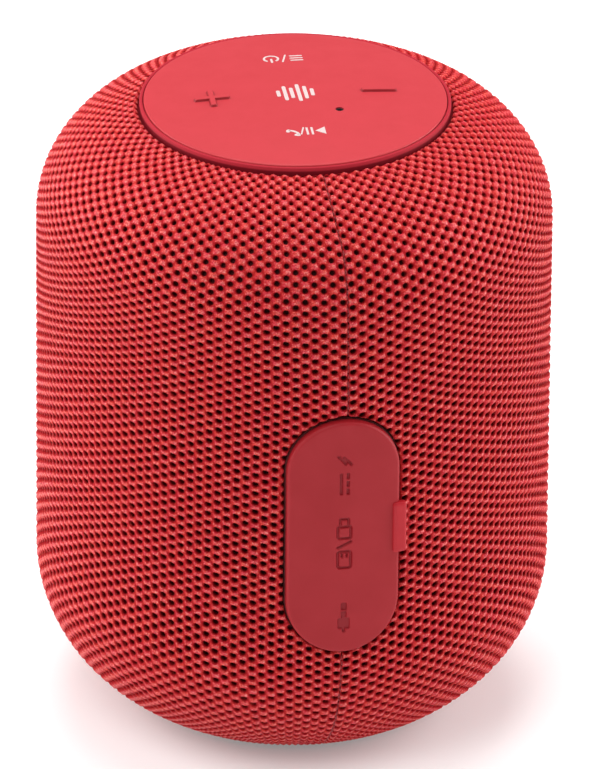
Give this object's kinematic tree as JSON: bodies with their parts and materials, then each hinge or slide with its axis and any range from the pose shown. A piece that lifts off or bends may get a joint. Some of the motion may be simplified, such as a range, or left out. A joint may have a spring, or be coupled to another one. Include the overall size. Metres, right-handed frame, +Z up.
{
  "type": "portable bluetooth speaker",
  "caption": "Drum-shaped portable speaker in a knitted sleeve, with a round silicone key pad on top and a silicone flap over its sockets.",
  "frame": {"origin": "middle of the foot's flat face, which the speaker stands on", "axes": "+Z up along the drum's axis; +Y is the side the driver fires from and the side the key symbols are read from; -Y is the socket side with the flap and the sleeve's seam; +X is the minus key's side"},
  "size_m": [0.084, 0.0849, 0.1076],
  "materials": {
    "knit": "open knitted polyester, foam backed",
    "thread": "twisted sewing thread",
    "shell_plastic": "moulded ABS, fine spark texture",
    "ring_plastic": "moulded ABS, satin",
    "pad_silicone": "soft-touch silicone",
    "cover_silicone": "matt silicone",
    "foot_silicone": "matt silicone",
    "print_white": "screen-printed ink",
    "screw_steel": "zinc-plated",
    "plated_steel": "nickel-plated sheet",
    "ferrite": "ground ferrite",
    "board": "green solder mask",
    "chip": "moulded epoxy",
    "module_can": "blue solder mask with a shield",
    "ivory_plastic": "moulded nylon",
    "black_plastic": "moulded ABS",
    "cell": "shrink-wrapped steel can",
    "wire_red": "PVC insulation",
    "wire_black": "PVC insulation",
    "black_rubber": "foam rubber",
    "paper_cone": "pressed paper pulp",
    "spider_cloth": "resin-dipped cotton",
    "copper": "enamelled copper wire"
  },
  "bodies": {
    "housing": {"fabric_sleeve": "knit", "seam_thread": "thread", "front_shell": "shell_plastic", "rear_shell": "shell_plastic", "shell_screws": "screw_steel", "port_bezel": "shell_plastic", "cover_tether": "cover_silicone", "cap_frame": "ring_plastic", "cap_screws": "screw_steel", "control_pad": "pad_silicone", "switch_bodies": "plated_steel", "button_board": "board", "button_board_screws": "screw_steel", "microphone": "plated_steel", "mic_gasket": "black_rubber", "button_cable": "wire_black", "base_plate": "shell_plastic", "base_screws": "screw_steel", "foot_pad": "foot_silicone", "main_board": "board", "main_board_screws": "screw_steel", "board_chips": "chip", "bluetooth_module": "module_can", "wire_sockets": "ivory_plastic", "usb_socket": "plated_steel", "card_socket": "plated_steel", "charge_socket": "plated_steel", "audio_jack": "black_plastic", "battery_cell": "cell", "battery_cradle": "black_plastic", "cradle_screws": "screw_steel", "battery_lead": "wire_red", "driver_basket": "plated_steel", "driver_gasket": "black_rubber", "driver_screws": "screw_steel", "driver_magnet": "ferrite", "top_plate": "plated_steel", "pole_yoke": "plated_steel", "cone_surround": "black_rubber", "spider": "spider_cloth", "driver_terminal": "ivory_plastic", "speaker_lead": "wire_black"},
    "flap": {"port_cover": "cover_silicone"},
    "plus_key": {"key_plus": "pad_silicone", "plunger_plus": "black_plastic"},
    "minus_key": {"key_minus": "pad_silicone", "plunger_minus": "black_plastic"},
    "mode_key": {"key_mode": "pad_silicone", "plunger_mode": "black_plastic"},
    "play_key": {"key_play": "pad_silicone", "plunger_play": "black_plastic"},
    "cone": {"voice_coil": "copper", "driver_cone": "paper_cone", "dust_cap": "paper_cone"}
  },
  "joints": [
    {"name": "port_cover_hinge", "type": "hinge", "parent": "housing", "child": "flap", "pos_m": [-0.00945, -0.0414, 0.0487], "axis": [0, 0, -1], "range_deg": [0, 105], "deforming": ["cover_tether"]},
    {"name": "plus_key_press", "type": "slide", "parent": "housing", "child": "plus_key", "axis": [0, 0, -1], "range_m": [0, 0.0003]},
    {"name": "minus_key_press", "type": "slide", "parent": "housing", "child": "minus_key", "axis": [0, 0, -1], "range_m": [0, 0.0003]},
    {"name": "mode_key_press", "type": "slide", "parent": "housing", "child": "mode_key", "axis": [0, 0, -1], "range_m": [0, 0.0003]},
    {"name": "play_key_press", "type": "slide", "parent": "housing", "child": "play_key", "axis": [0, 0, -1], "range_m": [0, 0.0003]},
    {"name": "cone_travel", "type": "slide", "parent": "housing", "child": "cone", "axis": [0, 1, 0], "range_m": [-0.0015, 0.0015], "deforming": ["cone_surround", "spider"]}
  ]
}
